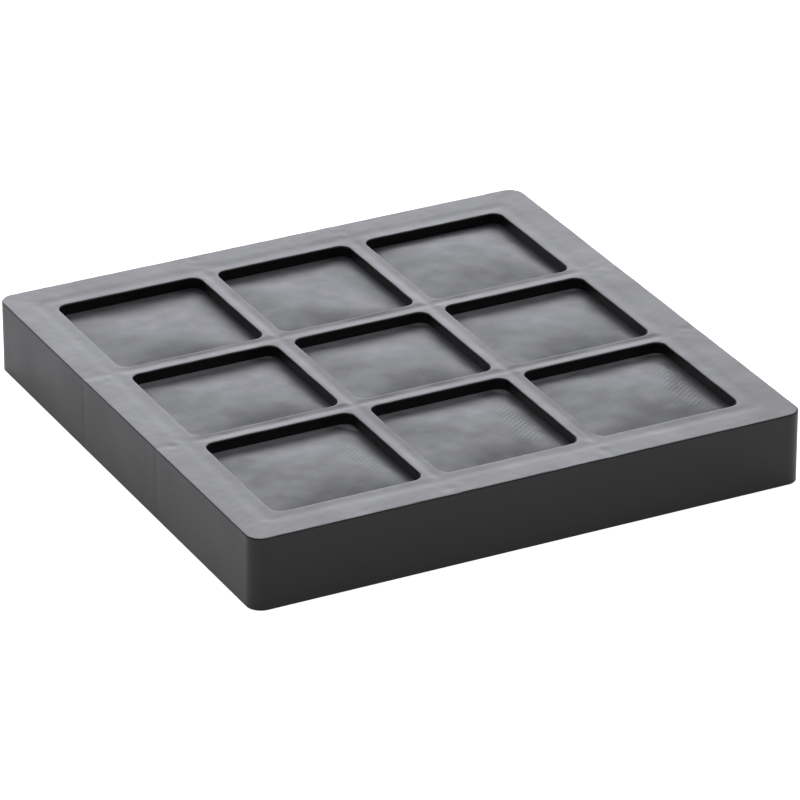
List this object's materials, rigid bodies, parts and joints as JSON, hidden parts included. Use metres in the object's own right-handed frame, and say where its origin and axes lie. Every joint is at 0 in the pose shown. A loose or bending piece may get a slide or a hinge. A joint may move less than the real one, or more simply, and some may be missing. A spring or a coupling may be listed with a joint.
{
  "type": "activated carbon filter cassette",
  "caption": "Square black plastic cassette with a grid of windows, each closed by woven mesh bulging over a bed of carbon granules; a snap-in cover and a mesh sheet close the back.",
  "frame": {"origin": "centre of the bounding box's underside, in the plane the rear rim rests on", "axes": "+Z out of the face plate with the nine windows; X and Y along the sides of the square, row 1 towards +Y and column 1 towards -X"},
  "size_m": [0.25, 0.25, 0.0315],
  "materials": {
    "casing_plastic": "satin moulded black",
    "mesh_fabric": "fine plain weave, dark grey",
    "carbon_granules": "loose black granules, dull"
  },
  "bodies": {
    "root": {"front_casing": "casing_plastic", "rear_mesh": "mesh_fabric", "rear_cover": "casing_plastic", "mesh_panel_r1_c1": "mesh_fabric", "mesh_panel_r1_c2": "mesh_fabric", "mesh_panel_r1_c3": "mesh_fabric", "mesh_panel_r2_c1": "mesh_fabric", "mesh_panel_r2_c2": "mesh_fabric", "mesh_panel_r2_c3": "mesh_fabric", "mesh_panel_r3_c1": "mesh_fabric", "mesh_panel_r3_c2": "mesh_fabric", "mesh_panel_r3_c3": "mesh_fabric", "carbon_bed_r1_c1": "carbon_granules", "carbon_bed_r1_c2": "carbon_granules", "carbon_bed_r1_c3": "carbon_granules", "carbon_bed_r2_c1": "carbon_granules", "carbon_bed_r2_c2": "carbon_granules", "carbon_bed_r2_c3": "carbon_granules", "carbon_bed_r3_c1": "carbon_granules", "carbon_bed_r3_c2": "carbon_granules", "carbon_bed_r3_c3": "carbon_granules"}
  },
  "joints": []
}
